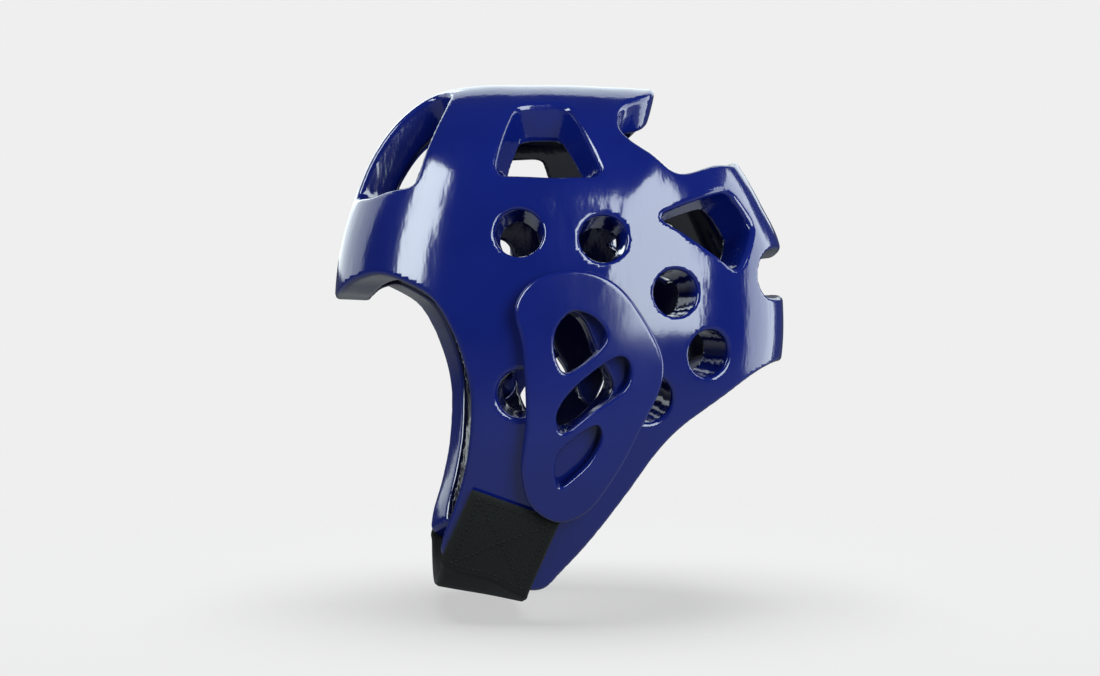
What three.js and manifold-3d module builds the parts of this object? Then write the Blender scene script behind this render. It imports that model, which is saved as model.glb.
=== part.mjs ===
// Taekwondo headgear: a one-piece dipped foam shell, two raised ear guards and a chin strap.
// Millimetres, +Z up, the face looks along -Y and the wearer's left is +X.
// The origin is the head seat, the middle of the inside of the crown, where a head carries the shell.
import * as THREE from 'three';
import { mergeVertices } from 'three/addons/utils/BufferGeometryUtils.js';
import Module from 'manifold-3d';

const wasm = await Module();
wasm.setup();

// Driving sizes of the foam shell, measured from the head centre to the outer surface
const halfWidth = 92;
const halfDepth = 125;
const crownHeight = 135.5;
const roundness = 2.35;
const foam = 20;

// Vents and openings in the foam
const ventBore = 25;
const ventSides = 12;
const openingCorner = 7;

// How far a cut's wall leans in on its way through the foam
const crownDraft = 7;
const rearDraft = 2;
const ventDraft = 0.8;

// Raised ear guards
const guardHeight = 126;
const guardWidth = 76;
const guardThickness = 7.2;
const slotFieldHeight = 126;
const slotFieldWidth = 76;
const seatGap = 0.3;

// Chin strap
const strapWidth = 48;
const strapThickness = 2.4;
const strapGap = 0.7;
const strapLap = 7.45;
const strapDrop = 143;
const strapTilt = THREE.MathUtils.degToRad(10);
const strapSlant = THREE.MathUtils.degToRad(20);

// How finely the soft forms are faceted
const formColumns = 40;
const formRows = 9;
const edgeStep = 4;
const cornerSteps = 3;
const strapFaceSteps = 5;
const strapChinSteps = 7;
const strapAcross = 4;
const reachPast = 6;

// Side view of the closed form: direction from the face going up, reach as a share of the half sizes
const sideReach = [
  { degrees: 0, reach: 1.0 },
  { degrees: 10, reach: 1.01 },
  { degrees: 30, reach: 1.053 },
  { degrees: 40, reach: 1.088 },
  { degrees: 50, reach: 1.11 },
  { degrees: 60, reach: 1.103 },
  { degrees: 70, reach: 1.055 },
  { degrees: 80, reach: 1.012 },
  { degrees: 90, reach: 1.0 },
  { degrees: 100, reach: 1.012 },
  { degrees: 108, reach: 1.044 },
  { degrees: 116, reach: 1.085 },
  { degrees: 124, reach: 1.062 },
  { degrees: 138, reach: 1.047 },
  { degrees: 150, reach: 1.037 },
  { degrees: 160, reach: 1.045 },
  { degrees: 170, reach: 1.01 },
  { degrees: 185, reach: 1.0 },
  { degrees: 200, reach: 1.0 },
  { degrees: 220, reach: 1.02 },
  { degrees: 240, reach: 1.15 },
  { degrees: 255, reach: 1.36 },
  { degrees: 270, reach: 1.55 },
  { degrees: 285, reach: 1.55 },
  { degrees: 300, reach: 1.4 },
  { degrees: 320, reach: 1.18 },
  { degrees: 340, reach: 1.03 },
];

// Front view: width at each height, up as a share of the crown height, width of the half width
const frontWidth = [
  { up: -1.5, width: 0.66 },
  { up: -1.2, width: 0.7 },
  { up: -0.95, width: 0.76 },
  { up: -0.7, width: 0.86 },
  { up: -0.4, width: 0.955 },
  { up: -0.1, width: 0.995 },
  { up: 0.3, width: 1.0 },
  { up: 0.65, width: 0.985 },
  { up: 1.0, width: 0.95 },
  { up: 1.3, width: 0.93 },
];

// Outlines on the shell. turn goes from the face round to the back of the head, rise goes up,
// both in degrees as seen from the head centre with the half sizes taken as one.

// Lower rim from the middle of the brow, down the cheek, round the jaw end, up to the nape
const lowerRim = [
  { turn: 0, rise: 6.9 },
  { turn: 14.4, rise: 7.9 },
  { turn: 28.3, rise: 10.3 },
  { turn: 38.8, rise: 11 },
  { turn: 47.9, rise: 9 },
  { turn: 54.5, rise: 6 },
  { turn: 59.2, rise: 0.2 },
  { turn: 62.7, rise: -8.6 },
  { turn: 63.5, rise: -16.1 },
  { turn: 61.0, rise: -27.5 },
  { turn: 55.7, rise: -36.8 },
  { turn: 48.1, rise: -44.7 },
  { turn: 46.2, rise: -47.6 },
  { turn: 50, rise: -50.2 },
  { turn: 60.2, rise: -53.2 },
  { turn: 73, rise: -58.4 },
  { turn: 79.5, rise: -58.4 },
  { turn: 85.0, rise: -55.9 },
  { turn: 92.6, rise: -51.1 },
  { turn: 104.7, rise: -38.1 },
  { turn: 113.5, rise: -25.8 },
  { turn: 120.3, rise: -20.0 },
  { turn: 137.2, rise: -10.6 },
  { turn: 150, rise: -7.8 },
  { turn: 180, rise: -7.5 },
];

// Opening above the brow on each side of the middle spine, corners rounded
const browOpening = [
  { turn: 11.8, rise: 29.3 },
  { turn: 27.2, rise: 28.3 },
  { turn: 45.9, rise: 29.5 },
  { turn: 44.7, rise: 41.8 },
  { turn: 42.5, rise: 49 },
  { turn: 34.3, rise: 57.3 },
  { turn: 18.0, rise: 57.4 },
  { turn: 13.0, rise: 41.4 },
];

// Four-sided opening at each side of the crown, corners rounded
const crownOpening = [
  { turn: 67.3, rise: 55.4 },
  { turn: 88, rise: 58.3 },
  { turn: 94.8, rise: 41.7 },
  { turn: 97.4, rise: 33.6 },
  { turn: 84, rise: 33.2 },
  { turn: 67.6, rise: 32.0 },
];

// Wide opening behind the crown, from one side to the other under the middle tongue
const tongueOpening = [
  { turn: 180, rise: 66.5 },
  { turn: 134.8, rise: 61.0 },
  { turn: 111.4, rise: 55.4 },
  { turn: 106.2, rise: 46.9 },
  { turn: 113.7, rise: 37.4 },
  { turn: 119.5, rise: 34.2 },
  { turn: 136.8, rise: 37.2 },
  { turn: 150, rise: 38.6 },
  { turn: 180, rise: 41.6 },
];

// Three-sided opening behind each ear, corners rounded
const rearOpening = [
  { turn: 109.3, rise: 23.9 },
  { turn: 136.2, rise: 30.2 },
  { turn: 142, rise: 22.6 },
  { turn: 130.5, rise: 11.4 },
];

// Level slot across the back of the head, corners rounded
const napeSlot = [
  { turn: 180, rise: 16.9 },
  { turn: 143.0, rise: 15.6 },
  { turn: 139.2, rise: 11.2 },
  { turn: 143.0, rise: 7.3 },
  { turn: 180, rise: 8.3 },
];

// Round vents, front to back, the last two half covered by the ear guard
const roundVents = [
  { turn: 75.1, rise: 20.0 },
  { turn: 95.5, rise: 19.2 },
  { turn: 112.8, rise: 7.4 },
  { turn: 122.0, rise: -5.4 },
  { turn: 75.7, rise: -14.1 },
  { turn: 107.1, rise: -15.5 },
];

// Outline of the ear guard, back and up from its middle as shares of its half width and half height
const guardOutline = [
  { back: -0.34, up: 1 },
  { back: 0.02, up: 0.95 },
  { back: 0.4, up: 0.82 },
  { back: 0.76, up: 0.61 },
  { back: 0.93, up: 0.42 },
  { back: 0.96, up: 0.24 },
  { back: 0.88, up: 0.09 },
  { back: 0.67, up: -0.21 },
  { back: 0.28, up: -0.69 },
  { back: 0.02, up: -0.91 },
  { back: -0.36, up: -1 },
  { back: -0.7, up: -0.91 },
  { back: -0.84, up: -0.68 },
  { back: -0.81, up: -0.25 },
  { back: -0.85, up: 0.22 },
  { back: -0.96, up: 0.6 },
  { back: -0.88, up: 0.84 },
  { back: -0.66, up: 0.95 },
];

// Slots through the guard, as shares of half the field that they are drawn in
const topSlot = [
  { back: -0.36, up: 0.64 },
  { back: -0.2, up: 0.68 },
  { back: 0.02, up: 0.59 },
  { back: 0.18, up: 0.49 },
  { back: 0.16, up: 0.43 },
  { back: -0.06, up: 0.33 },
  { back: -0.26, up: 0.22 },
  { back: -0.37, up: 0.2 },
  { back: -0.45, up: 0.28 },
  { back: -0.47, up: 0.45 },
];

const middleSlot = [
  { back: 0.35, up: 0.32 },
  { back: 0.48, up: 0.31 },
  { back: 0.52, up: 0.2 },
  { back: 0.4, up: 0.1 },
  { back: 0.12, up: -0.02 },
  { back: -0.14, up: -0.14 },
  { back: -0.34, up: -0.22 },
  { back: -0.42, up: -0.18 },
  { back: -0.43, up: -0.05 },
  { back: -0.35, up: 0.03 },
  { back: -0.16, up: 0.12 },
  { back: 0.12, up: 0.23 },
];

const lowSlot = [
  { back: 0.12, up: -0.21 },
  { back: 0.16, up: -0.28 },
  { back: 0.13, up: -0.38 },
  { back: 0.03, up: -0.49 },
  { back: -0.14, up: -0.6 },
  { back: -0.3, up: -0.66 },
  { back: -0.38, up: -0.6 },
  { back: -0.39, up: -0.46 },
  { back: -0.31, up: -0.35 },
  { back: -0.16, up: -0.28 },
  { back: 0, up: -0.23 },
];

// Hearing opening through the shell behind the top and middle slots
const earOpening = [
  { back: -0.42, up: 0.66 },
  { back: -0.12, up: 0.64 },
  { back: 0.16, up: 0.3 },
  { back: 0.34, up: 0.08 },
  { back: 0.2, up: -0.08 },
  { back: -0.3, up: -0.3 },
  { back: -0.5, up: -0.1 },
  { back: -0.54, up: 0.3 },
];

// Where the guard and the strap lie on the shell, as shares of the half depth and crown height.
// The strap's end starts higher than the guard's lower end by its lap.
const guardMiddle = { back: 0.025, up: -0.255 };
const strapPlace = { topBack: -0.25, foldBack: -0.37 };

const rad = THREE.MathUtils.degToRad;
const seatHeight = crownHeight - foam;

// Smooth value between the rows of a table
function smooth(rows, key, value, at) {
  const last = rows.length - 1;
  const slope = (i) => {
    const a = rows[Math.max(i - 1, 0)];
    const b = rows[Math.min(i + 1, last)];
    return (b[value] - a[value]) / (b[key] - a[key]);
  };
  const x = THREE.MathUtils.clamp(at, rows[0][key], rows[last][key]);
  let i = 0;
  while (i < last - 1 && x >= rows[i + 1][key]) i += 1;
  const span = rows[i + 1][key] - rows[i][key];
  const t = (x - rows[i][key]) / span;
  const a = (2 * t - 3) * t * t + 1;
  const b = ((t - 2) * t + 1) * t * span;
  const c = (3 - 2 * t) * t * t;
  const d = (t - 1) * t * t * span;
  return a * rows[i][value] + b * slope(i) + c * rows[i + 1][value] + d * slope(i + 1);
}

const turned = (by) => sideReach.map((row) => ({ degrees: row.degrees + by, reach: row.reach }));
const reachAllRound = [...turned(-360), ...sideReach, ...turned(360)];

// One on the outer surface of the closed form, less inside it, more outside
function gauge(p) {
  const z = p.z / crownHeight;
  const y = p.y / halfDepth;
  const x = p.x / (halfWidth * smooth(frontWidth, 'up', 'width', z));
  const degrees = THREE.MathUtils.radToDeg(Math.atan2(z, -y));
  const side = Math.hypot(y, z) / smooth(reachAllRound, 'degrees', 'reach', degrees);
  return (Math.abs(x) ** roundness + side ** roundness) ** (1 / roundness);
}

// Direction square to the form
function normalAt(p) {
  const h = 0.05;
  const step = (axis) => {
    const a = p.clone();
    const b = p.clone();
    a[axis] -= h;
    b[axis] += h;
    return gauge(b) - gauge(a);
  };
  return new THREE.Vector3(step('x'), step('y'), step('z')).normalize();
}

// Brings a point onto the outer surface along its line from the head centre
function seat(p) {
  const q = p.clone();
  for (let i = 0; i < 8; i += 1) q.multiplyScalar(1 / gauge(q));
  return q;
}

// Point of the outer surface in a direction from the head centre
function fromDirection({ turn, rise }) {
  const flat = Math.cos(rad(rise));
  const x = Math.sin(rad(turn)) * flat * halfWidth;
  const y = -Math.cos(rad(turn)) * flat * halfDepth;
  return seat(new THREE.Vector3(x, y, Math.sin(rad(rise)) * crownHeight));
}

// Point of the outer surface at a place in the side view
function fromSide(y, z) {
  let low = 0;
  let high = 2 * halfWidth;
  for (let i = 0; i < 40; i += 1) {
    const middle = (low + high) / 2;
    if (gauge(new THREE.Vector3(middle, y, z)) < 1) low = middle;
    else high = middle;
  }
  return new THREE.Vector3(low, y, z);
}

const mirrored = (points) => points.map((p) => new THREE.Vector3(-p.x, p.y, p.z)).reverse();

// A closed or open smooth line through points, stepped evenly
function smoothLine(points, closed, step) {
  const curve = new THREE.CatmullRomCurve3(points, closed, 'centripetal');
  const count = Math.max(3, Math.round(curve.getLength() / step));
  const line = curve.getSpacedPoints(count);
  if (closed) line.pop();
  return line.map(seat);
}

// A closed outline with straight sides and rounded corners
function cornered(points, radius, step) {
  const line = [];
  points.forEach((corner, i) => {
    const before = points[(i + points.length - 1) % points.length];
    const after = points[(i + 1) % points.length];
    const back = Math.min(radius, corner.distanceTo(before) * 0.45);
    const ahead = Math.min(radius, corner.distanceTo(after) * 0.45);
    const start = corner.clone().lerp(before, back / corner.distanceTo(before));
    const end = corner.clone().lerp(after, ahead / corner.distanceTo(after));
    const arc = new THREE.QuadraticBezierCurve3(start, corner, end);
    line.push(...arc.getPoints(cornerSteps));
    const next = after.clone().lerp(corner, ahead / after.distanceTo(corner));
    const pieces = Math.floor(end.distanceTo(next) / step);
    for (let k = 1; k < pieces; k += 1) line.push(end.clone().lerp(next, k / pieces));
  });
  return line.map(seat);
}

// A closed mesh as a solid for joining and cutting
function toSolid(positions, triangles) {
  const geometry = new THREE.BufferGeometry();
  geometry.setAttribute('position', new THREE.Float32BufferAttribute(positions, 3));
  geometry.setIndex(triangles);
  const merged = mergeVertices(geometry, 1e-4);
  const mesh = new wasm.Mesh({
    numProp: 3,
    vertProperties: new Float32Array(merged.attributes.position.array),
    triVerts: new Uint32Array(merged.index.array),
  });
  mesh.merge();
  return new wasm.Manifold(mesh);
}

// The closed form, its surface moved out or in along its normals
function closedForm(offset) {
  const positions = [];
  const triangles = [];
  const put = (p) => {
    const s = seat(p);
    s.addScaledVector(normalAt(s), offset);
    positions.push(s.x, s.y, s.z);
  };
  put(new THREE.Vector3(-halfWidth, 0, 0));
  for (let row = 1; row < 2 * formRows; row += 1) {
    const across = -Math.PI / 2 + (Math.PI * row) / (2 * formRows);
    for (let column = 0; column < formColumns; column += 1) {
      const round = (2 * Math.PI * column) / formColumns;
      const flat = Math.cos(across);
      put(new THREE.Vector3(
        Math.sin(across) * halfWidth,
        -Math.cos(round) * flat * halfDepth,
        Math.sin(round) * flat * crownHeight,
      ));
    }
  }
  put(new THREE.Vector3(halfWidth, 0, 0));
  const rings = 2 * formRows - 1;
  const at = (ring, column) => 1 + ring * formColumns + (column % formColumns);
  const end = 1 + rings * formColumns;
  for (let column = 0; column < formColumns; column += 1) {
    triangles.push(0, at(0, column), at(0, column + 1));
    triangles.push(end, at(rings - 1, column + 1), at(rings - 1, column));
    for (let ring = 0; ring < rings - 1; ring += 1) {
      triangles.push(at(ring, column), at(ring + 1, column), at(ring + 1, column + 1));
      triangles.push(at(ring, column), at(ring + 1, column + 1), at(ring, column + 1));
    }
  }
  return outward(positions, triangles);
}

// The same, with its faces turned to look outwards
function outward(positions, triangles) {
  const solid = toSolid(positions, triangles);
  if (solid.volume() > 0) return solid;
  const flipped = [];
  for (let i = 0; i < triangles.length; i += 3) {
    flipped.push(triangles[i], triangles[i + 2], triangles[i + 1]);
  }
  return toSolid(positions, flipped);
}

// A cutter whose wall stands square to the surface along an outline of the surface, or leans in
// by the draft where the outline has shrunk to its middle by that much on the inside of the foam
function throughCut(line, outside, inside, { draft = 0, outerTip, innerTip } = {}) {
  const positions = [];
  const triangles = [];
  const outer = new THREE.Vector3();
  const inner = new THREE.Vector3();
  const normals = new THREE.Vector3();
  const count = line.length;
  const middle = new THREE.Vector3();
  line.forEach((p) => middle.addScaledVector(p, 1 / count));
  const radius = line.reduce((sum, p) => sum + p.distanceTo(middle) / count, 0);
  const lean = draft / (foam * radius);
  line.forEach((p) => {
    const normal = normalAt(p);
    const away = p.clone().sub(middle);
    const a = p.clone().addScaledVector(normal, outside).addScaledVector(away, lean * outside);
    const b = p.clone().addScaledVector(normal, -inside).addScaledVector(away, -lean * inside);
    outer.addScaledVector(a, 1 / count);
    inner.addScaledVector(b, 1 / count);
    normals.add(normal);
    positions.push(a.x, a.y, a.z, b.x, b.y, b.z);
  });
  normals.normalize();
  const a = outerTip ?? outer.addScaledVector(normals, outside);
  const b = innerTip ?? inner.addScaledVector(normals, -outside);
  positions.push(a.x, a.y, a.z, b.x, b.y, b.z);
  for (let i = 0; i < count; i += 1) {
    const j = (i + 1) % count;
    triangles.push(2 * i, 2 * i + 1, 2 * j + 1, 2 * i, 2 * j + 1, 2 * j);
    triangles.push(2 * count, 2 * i, 2 * j, 2 * count + 1, 2 * j + 1, 2 * i + 1);
  }
  return outward(positions, triangles);
}

// An outline given for one side, from the middle plane back to it, made whole with its mirror image
function bothSides(outline) {
  const half = smoothLine(outline.map(fromDirection), false, 2.5 * edgeStep);
  return [...half, ...mirrored(half.slice(1, -1))];
}

// A round outline lying on the surface
function circleOn(centre, diameter, sides) {
  const normal = normalAt(centre);
  const along = new THREE.Vector3(0, 0, 1).cross(normal).normalize();
  const up = normal.clone().cross(along);
  const line = [];
  for (let i = 0; i < sides; i += 1) {
    const angle = (2 * Math.PI * i) / sides;
    const p = centre.clone();
    p.addScaledVector(along, (diameter / 2) * Math.cos(angle));
    p.addScaledVector(up, (diameter / 2) * Math.sin(angle));
    line.push(seat(p));
  }
  return line;
}

// A place round the middle of the ear guard, from shares of a half width and a half height
function aroundEar({ back, up }, width, height) {
  const y = guardMiddle.back * halfDepth + (back * width) / 2;
  const z = guardMiddle.up * crownHeight + (up * height) / 2;
  return fromSide(y, z);
}

const onGuard = (place) => aroundEar(place, guardWidth, guardHeight);
const onSlot = (place) => aroundEar(place, slotFieldWidth, slotFieldHeight);

const cutDepth = foam + reachPast;

// Outlines and drafts of all that is cut on one side of the shell
function vents() {
  const angular = (outline) => cornered(outline.map(fromDirection), openingCorner, 4 * edgeStep);
  const cuts = roundVents.map((vent) => ({
    line: circleOn(fromDirection(vent), ventBore, ventSides),
    draft: ventDraft,
  }));
  cuts.push({ line: angular(browOpening), draft: 0 });
  cuts.push({ line: angular(crownOpening), draft: crownDraft });
  cuts.push({ line: angular(rearOpening), draft: rearDraft });
  cuts.push({ line: smoothLine(earOpening.map(onSlot), true, 2 * edgeStep), draft: 0 });
  return cuts;
}

function cutShell(solid) {
  const headCentre = new THREE.Vector3(0, 0, 0);
  let cut = solid;
  vents().forEach(({ line, draft }) => {
    cut = cut.subtract(throughCut(line, reachPast, cutDepth, { draft }));
    cut = cut.subtract(throughCut(mirrored(line), reachPast, cutDepth, { draft }));
  });
  const below = new THREE.Vector3(0, 0, -5 * crownHeight);
  const above = new THREE.Vector3(0, 2 * halfDepth, 2 * crownHeight);
  const behind = new THREE.Vector3(0, 3 * halfDepth, 0.2 * crownHeight);
  const wide = (outline, outside, outerTip) => throughCut(
    bothSides(outline), outside, cutDepth, { outerTip, innerTip: headCentre },
  );
  return cut
    .subtract(wide(lowerRim, 3 * foam, below))
    .subtract(wide(tongueOpening, reachPast, above))
    .subtract(wide(napeSlot, reachPast, behind));
}

function makeShell() {
  return cutShell(closedForm(0).subtract(closedForm(-foam)));
}

function guardLine() {
  return smoothLine(guardOutline.map((place) => onGuard(place)), true, 2 * edgeStep);
}

function makeGuard() {
  const skin = closedForm(seatGap + guardThickness).subtract(closedForm(seatGap));
  const past = guardThickness + reachPast;
  let guard = skin.intersect(throughCut(guardLine(), past, reachPast));
  [topSlot, middleSlot, lowSlot].forEach((slot) => {
    const line = smoothLine(slot.map(onSlot), true, 1.8 * edgeStep);
    guard = guard.subtract(throughCut(line, past, reachPast));
  });
  return guard;
}

// The guard's outline a little enlarged, where the strap is trimmed round it
function besideGuard() {
  const middle = onGuard({ back: 0, up: 0 });
  return guardLine().map((p) => {
    const away = p.clone().sub(middle).normalize();
    return seat(p.clone().addScaledVector(away, 2 * seatGap));
  });
}

// Height of the jaw end at a place from front to back, where the strap folds under it
function jawEndHeight(place, rim) {
  const rimEnd = Math.min(...rim.map((p) => p.z));
  const jaw = rim.filter((p) => p.z < rimEnd / 2);
  const y = Math.max(place, Math.min(...jaw.map((p) => p.y)));
  let lowest = 0;
  for (let i = 0; i < rim.length - 1; i += 1) {
    const a = rim[i];
    const b = rim[i + 1];
    if ((a.y - y) * (b.y - y) <= 0) {
      lowest = Math.min(lowest, THREE.MathUtils.lerp(a.z, b.z, (y - a.y) / (b.y - a.y)));
    }
  }
  return lowest;
}

// Rows across the strap's half loop, from its end on the jaw to the middle under the chin
function strapStations() {
  const rim = smoothLine(lowerRim.map(fromDirection), false, edgeStep);
  const strapTop = guardMiddle.up * crownHeight - guardHeight / 2 + strapLap;
  const stations = [];
  for (let i = 0; i <= strapFaceSteps; i += 1) {
    const share = i / strapFaceSteps;
    const middle = THREE.MathUtils.lerp(strapPlace.topBack, strapPlace.foldBack, share) * halfDepth;
    const row = [];
    for (let k = 0; k <= strapAcross; k += 1) {
      const side = (k / strapAcross - 0.5) * strapWidth;
      const y = middle + side * Math.cos(strapSlant);
      const top = strapTop - side * Math.sin(strapSlant);
      const foldY = strapPlace.foldBack * halfDepth + side * Math.cos(strapSlant);
      const fold = jawEndHeight(foldY, rim) - strapGap;
      const on = fromSide(y, THREE.MathUtils.lerp(top, fold, share));
      row.push({ at: on, normal: normalAt(on), side });
    }
    stations.push(row);
  }
  const fold = stations[stations.length - 1];
  for (let i = 1; i <= strapChinSteps; i += 1) {
    const inward = 1 - i / strapChinSteps;
    stations.push(fold.map(({ at, normal, side }) => {
      const middle = new THREE.Vector3(0, strapPlace.foldBack * halfDepth, -strapDrop);
      middle.y += side * Math.cos(strapTilt);
      middle.z -= side * Math.sin(strapTilt);
      const shape = inward * inward;
      const down = new THREE.Vector3(normal.x * inward * 0.5, 0, -1).normalize();
      const y = THREE.MathUtils.lerp(middle.y, at.y, shape);
      const z = THREE.MathUtils.lerp(middle.z, at.z, shape);
      return { at: new THREE.Vector3(at.x * inward, y, z), normal: down };
    }));
  }
  return stations;
}

function makeStrap() {
  const half = strapStations();
  const other = half.slice(0, -1).map((row) => row.map(({ at, normal }) => ({
    at: new THREE.Vector3(-at.x, at.y, at.z),
    normal: new THREE.Vector3(-normal.x, normal.y, normal.z),
  }))).reverse();
  const rows = [...half, ...other];
  const wide = rows[0].length;
  const positions = [];
  const triangles = [];
  rows.forEach((row) => row.forEach(({ at, normal }) => {
    const inner = at.clone().addScaledVector(normal, strapGap);
    const outer = at.clone().addScaledVector(normal, strapGap + strapThickness);
    positions.push(inner.x, inner.y, inner.z, outer.x, outer.y, outer.z);
  }));
  const at = (row, column, side) => 2 * (row * wide + column) + side;
  const quad = (a, b, c, d) => triangles.push(a, b, c, a, c, d);
  for (let row = 0; row < rows.length - 1; row += 1) {
    for (let k = 0; k < wide - 1; k += 1) {
      quad(at(row, k, 1), at(row + 1, k, 1), at(row + 1, k + 1, 1), at(row, k + 1, 1));
      quad(at(row, k, 0), at(row, k + 1, 0), at(row + 1, k + 1, 0), at(row + 1, k, 0));
    }
    quad(at(row, 0, 0), at(row + 1, 0, 0), at(row + 1, 0, 1), at(row, 0, 1));
    const k = wide - 1;
    quad(at(row, k, 0), at(row, k, 1), at(row + 1, k, 1), at(row + 1, k, 0));
  }
  for (let k = 0; k < wide - 1; k += 1) {
    quad(at(0, k, 0), at(0, k, 1), at(0, k + 1, 1), at(0, k + 1, 0));
    const row = rows.length - 1;
    quad(at(row, k, 0), at(row, k + 1, 0), at(row, k + 1, 1), at(row, k, 1));
  }
  const trim = besideGuard();
  return outward(positions, triangles)
    .subtract(throughCut(trim, 2 * reachPast, seatGap))
    .subtract(throughCut(mirrored(trim), 2 * reachPast, seatGap));
}

// A named piece moved to the seat's origin, turned over to the other side when side is -1
function toMesh(solid, name, material, side = 1) {
  const mesh = solid.getMesh();
  const geometry = new THREE.BufferGeometry();
  const positions = new Float32Array(mesh.vertProperties);
  const triangles = Array.from(mesh.triVerts);
  for (let i = 0; i < positions.length; i += 3) {
    positions[i] *= side;
    positions[i + 2] -= seatHeight;
  }
  if (side < 0) {
    for (let i = 0; i < triangles.length; i += 3) {
      [triangles[i + 1], triangles[i + 2]] = [triangles[i + 2], triangles[i + 1]];
    }
  }
  geometry.setAttribute('position', new THREE.BufferAttribute(positions, 3));
  geometry.setIndex(triangles);
  geometry.computeVertexNormals();
  const piece = new THREE.Mesh(geometry, material);
  piece.name = name;
  return piece;
}

const dippedFoam = new THREE.MeshStandardMaterial({ color: 0x16226e, roughness: 0.16, metalness: 0 });
const webbing = new THREE.MeshStandardMaterial({ color: 0x161816, roughness: 0.85, metalness: 0 });

const guard = makeGuard();
const headgear = new THREE.Group();
headgear.add(toMesh(makeShell(), 'shell', dippedFoam.clone()));
headgear.add(toMesh(guard, 'ear_guard_left', dippedFoam.clone()));
headgear.add(toMesh(guard, 'ear_guard_right', dippedFoam.clone(), -1));
headgear.add(toMesh(makeStrap(), 'chin_strap', webbing));

export default headgear;
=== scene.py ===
"""Taekwondo headgear of dipped foam: the looks of its shell, ear guards and chin strap."""
import math

import bmesh
import bpy
import numpy as np
from bpy.props import FloatProperty, FloatVectorProperty, PointerProperty
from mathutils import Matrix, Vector


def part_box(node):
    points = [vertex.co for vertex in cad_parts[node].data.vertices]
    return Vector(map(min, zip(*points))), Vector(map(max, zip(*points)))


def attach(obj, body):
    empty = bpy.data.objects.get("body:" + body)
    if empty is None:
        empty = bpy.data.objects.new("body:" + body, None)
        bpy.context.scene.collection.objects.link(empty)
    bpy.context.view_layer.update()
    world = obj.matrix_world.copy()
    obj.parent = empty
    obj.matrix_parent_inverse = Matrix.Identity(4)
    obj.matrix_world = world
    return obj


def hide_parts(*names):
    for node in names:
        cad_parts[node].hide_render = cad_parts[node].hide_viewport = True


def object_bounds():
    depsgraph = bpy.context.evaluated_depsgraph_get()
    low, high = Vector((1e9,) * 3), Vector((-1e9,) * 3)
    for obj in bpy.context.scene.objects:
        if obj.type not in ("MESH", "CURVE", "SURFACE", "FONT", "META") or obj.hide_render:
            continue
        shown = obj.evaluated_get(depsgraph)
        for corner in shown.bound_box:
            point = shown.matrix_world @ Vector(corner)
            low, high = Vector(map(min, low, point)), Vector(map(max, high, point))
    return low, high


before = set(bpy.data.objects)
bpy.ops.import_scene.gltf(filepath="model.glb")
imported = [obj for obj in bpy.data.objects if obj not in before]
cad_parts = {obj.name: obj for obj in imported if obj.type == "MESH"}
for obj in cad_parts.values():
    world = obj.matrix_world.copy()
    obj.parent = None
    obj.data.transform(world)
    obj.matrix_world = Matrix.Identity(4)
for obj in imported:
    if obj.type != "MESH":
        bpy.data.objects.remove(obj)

bl_info = {
    "name": "Dipped Foam Headgear",
    "version": (1, 0, 0),
    "blender": (4, 5, 0),
    "location": "View3D > Sidebar > Headgear",
    "description": "Builds a dipped foam sparring headgear with ear guards and a chin strap",
    "category": "Add Mesh",
}

CAD_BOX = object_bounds()
ROOT = "root"
MM = 0.001

# The pale ground behind, and the floor under the lowest point, in metres
GROUND_GREY = (0.863, 0.863, 0.863, 1)
FLOOR_GAP = 0.005
FLOOR_RADIUS = 2.5
FLOOR_SIDES = 128

# The photo's width, and the camera's focal length at that width, in pixels
PICTURE_PIXELS = 1100
FOCAL_PIXELS = 1566.4

# Where the lights point and how far off they stand, in metres
LIGHT_TARGET = (0, 0, -0.11)
LIGHT_DISTANCE = 1.5

# Soft panels round the headgear: name, azimuth from the face, elevation, size in metres, watts
COOL_WHITE = (0.88, 0.98, 1.0)
PANELS = (
    ("side_panel", 123, 19, (0.92, 1.25), 42),
    ("brow_panel", 29, 27, (0.5, 1.0), 25),
    ("far_brow_panel", -50, 24, (1.9, 1.0), 12),
    ("back_panel", -170, 10, (1.0, 1.3), 17),
    ("far_top_panel", -97, 36, (1.9, 1.2), 12),
)

# Side view of the closed form: direction from the face going up in degrees, reach as a share
SIDE_REACH = (
    (0, 1.0), (10, 1.01), (30, 1.053), (40, 1.088), (50, 1.11), (60, 1.103), (70, 1.055),
    (80, 1.012), (90, 1.0), (100, 1.012), (108, 1.044), (116, 1.085), (124, 1.062), (138, 1.047),
    (150, 1.037), (160, 1.045), (170, 1.01), (185, 1.0), (200, 1.0), (220, 1.02), (240, 1.15),
    (255, 1.36), (270, 1.55), (285, 1.55), (300, 1.4), (320, 1.18), (340, 1.03),
)

# Front view: up as a share of the crown height, width as a share of the half width
FRONT_WIDTH = (
    (-1.5, 0.66), (-1.2, 0.7), (-0.95, 0.76), (-0.7, 0.86), (-0.4, 0.955), (-0.1, 0.995),
    (0.3, 1.0), (0.65, 0.985), (1.0, 0.95), (1.3, 0.93),
)

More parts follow.
